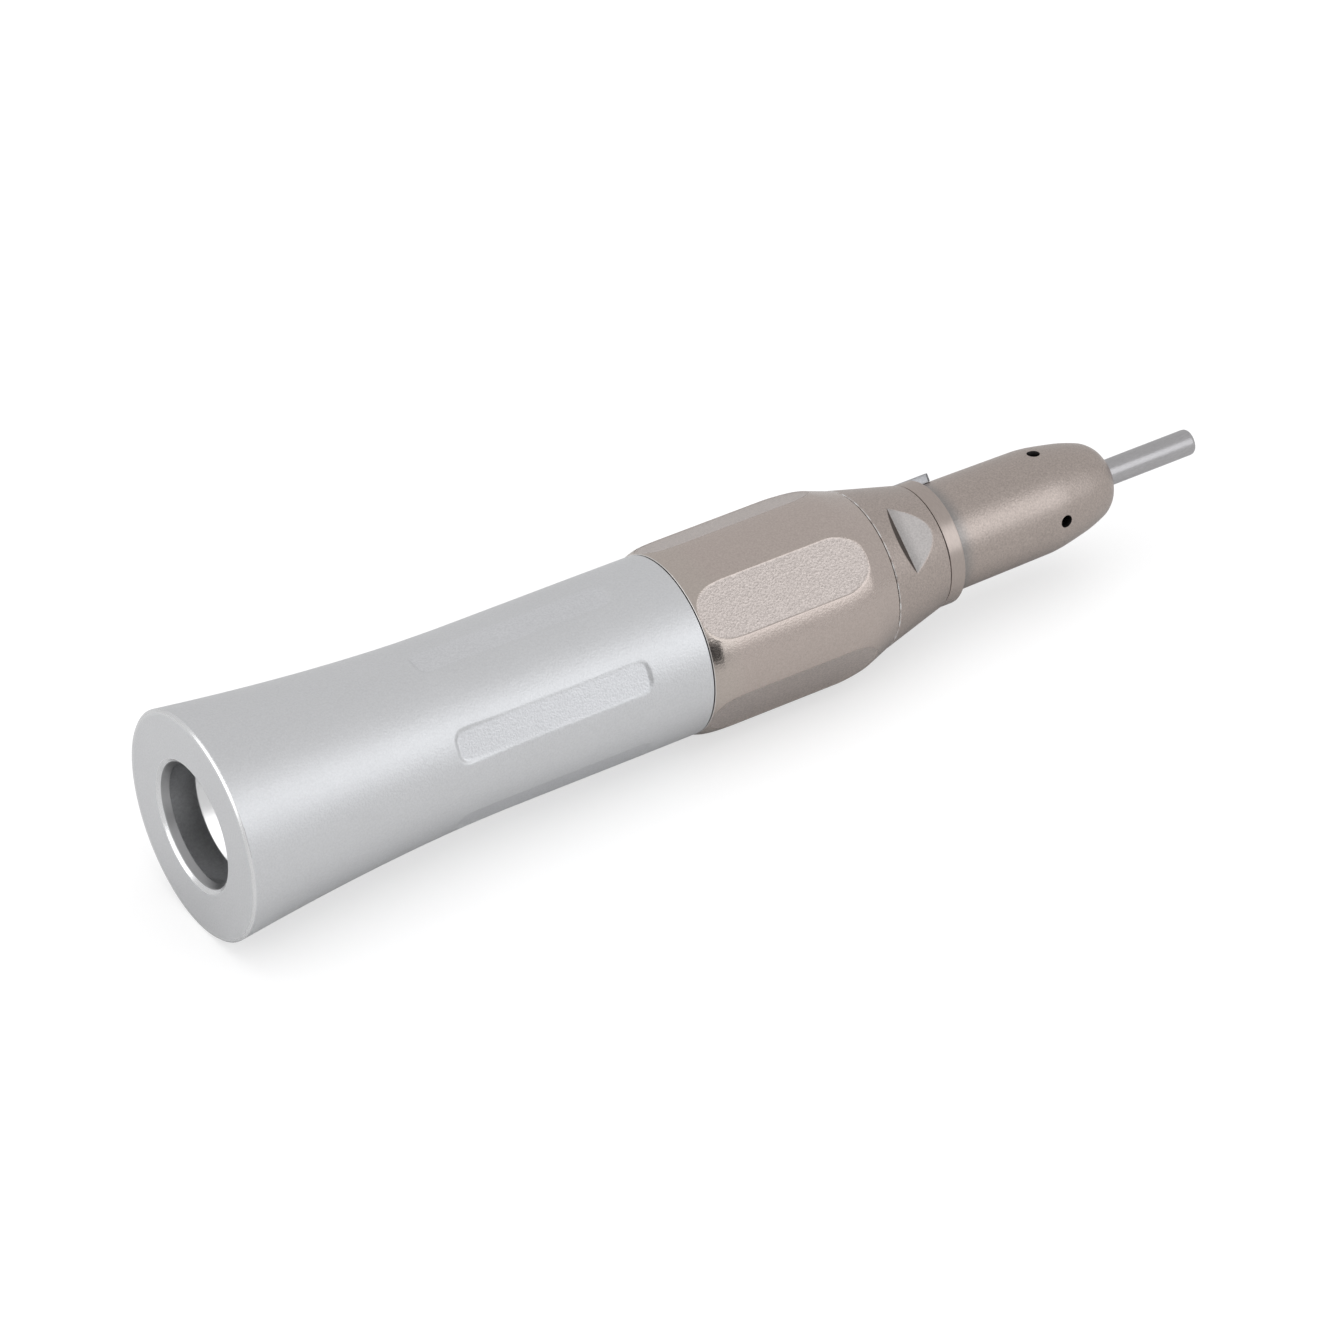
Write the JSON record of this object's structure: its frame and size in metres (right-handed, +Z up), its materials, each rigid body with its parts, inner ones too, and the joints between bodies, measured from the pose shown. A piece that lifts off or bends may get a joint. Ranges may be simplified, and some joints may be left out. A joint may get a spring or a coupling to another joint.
{
  "type": "straight dental handpiece",
  "caption": "Straight nose-cone dental handpiece with a flared sheath, twist chuck ring, cone index ring, keyed collar, rounded nose and a plain test mandrel in its collet.",
  "frame": {"origin": "midway along the part, straight under its axis, on the surface that it lies on", "axes": "+X along the axis from the motor socket to the nose, +Y to the left of the nose, +Z up; the axis is 10 mm above the origin"},
  "size_m": [0.1002, 0.02, 0.02],
  "materials": {
    "pearl_aluminium": "fine bead-blasted, clear anodised",
    "champagne_nickel": "satin champagne plating, fine bead blast",
    "polished_steel": "polished",
    "ground_steel": "ground",
    "hardened_steel": "hardened and ground",
    "spring_steel": "drawn wire",
    "bronze": "turned bearing bronze",
    "black_rubber": "matt",
    "seal_polymer": "turned fluoropolymer"
  },
  "bodies": {
    "casing": {"rear_sheath": "pearl_aluminium", "coupling_tube": "polished_steel", "body_core": "ground_steel", "sheath_o_ring_1": "black_rubber", "sheath_o_ring_2": "black_rubber", "detent_spring": "spring_steel", "rear_bearing_retainer": "ground_steel", "rear_bearing_outer_race": "hardened_steel", "middle_bearing_outer_race": "hardened_steel", "front_bearing_outer_race": "hardened_steel", "outer_spacer": "ground_steel", "preload_washer": "spring_steel", "bearing_retainer_nut": "ground_steel", "index_ring": "champagne_nickel", "front_collar": "champagne_nickel", "locating_lug": "ground_steel", "nose_cone": "champagne_nickel", "nose_seal": "seal_polymer"},
    "chuck": {"chuck_ring": "champagne_nickel", "cam_sleeve": "bronze"},
    "thrust": {"thrust_sleeve": "hardened_steel", "thrust_washer": "bronze", "cam_pin_left": "hardened_steel", "cam_pin_right": "hardened_steel"},
    "rotor": {"spindle": "ground_steel", "rear_bearing_inner_race": "hardened_steel", "middle_bearing_inner_race": "hardened_steel", "front_bearing_inner_race": "hardened_steel", "inner_spacer": "ground_steel", "front_lock_nut": "ground_steel", "rear_circlip": "spring_steel", "dog_spring": "spring_steel", "chuck_spring": "spring_steel"},
    "dog": {"drive_dog": "hardened_steel", "dog_pin": "hardened_steel"},
    "collet_set": {"collet": "hardened_steel", "draw_collar": "ground_steel", "cross_pin": "hardened_steel"},
    "mandrel": {"test_mandrel": "polished_steel"},
    "rear_balls": {"rear_bearing_balls": "hardened_steel"},
    "middle_balls": {"middle_bearing_balls": "hardened_steel"},
    "front_balls": {"front_bearing_balls": "hardened_steel"},
    "detent": {"detent_ball": "hardened_steel"}
  },
  "joints": [
    {"name": "chuck_ring_turn", "type": "hinge", "parent": "casing", "child": "chuck", "pos_m": [0, 0, 0.01], "axis": [1, 0, 0], "range_deg": [0, 45]},
    {"name": "thrust_slide", "type": "slide", "parent": "casing", "child": "thrust", "axis": [1, 0, 0], "range_m": [0, 0.00072]},
    {"name": "spindle_spin", "type": "hinge", "parent": "casing", "child": "rotor", "pos_m": [0, 0, 0.01], "axis": [1, 0, 0], "continuous": true},
    {"name": "collet_slide", "type": "slide", "parent": "rotor", "child": "collet_set", "axis": [1, 0, 0], "range_m": [0, 0.00072], "deforming": ["chuck_spring"]},
    {"name": "mandrel_slide", "type": "slide", "parent": "collet_set", "child": "mandrel", "axis": [1, 0, 0], "range_m": [0, 0.04]},
    {"name": "dog_slide", "type": "slide", "parent": "rotor", "child": "dog", "axis": [1, 0, 0], "range_m": [0, 0.0012], "stiffness_N_per_m": 100, "springref_m": -0.003, "deforming": ["dog_spring"]},
    {"name": "rear_balls_spin", "type": "hinge", "parent": "casing", "child": "rear_balls", "pos_m": [0, 0, 0.01], "axis": [1, 0, 0], "continuous": true},
    {"name": "middle_balls_spin", "type": "hinge", "parent": "casing", "child": "middle_balls", "pos_m": [0, 0, 0.01], "axis": [1, 0, 0], "continuous": true},
    {"name": "front_balls_spin", "type": "hinge", "parent": "casing", "child": "front_balls", "pos_m": [0, 0, 0.01], "axis": [1, 0, 0], "continuous": true},
    {"name": "detent_ball_slide", "type": "slide", "parent": "casing", "child": "detent", "axis": [-1, 0, 0], "range_m": [0, 0.0003], "stiffness_N_per_m": 20, "springref_m": -0.001, "deforming": ["detent_spring"]}
  ],
  "couplings": [
    {"joint": "thrust_slide", "follows": "chuck_ring_turn", "m_per_rad": 0.00089127},
    {"joint": "collet_slide", "follows": "chuck_ring_turn", "m_per_rad": 0.00089127},
    {"joint": "rear_balls_spin", "follows": "spindle_spin", "ratio": 0.41393},
    {"joint": "middle_balls_spin", "follows": "spindle_spin", "ratio": 0.41393},
    {"joint": "front_balls_spin", "follows": "spindle_spin", "ratio": 0.41393}
  ]
}
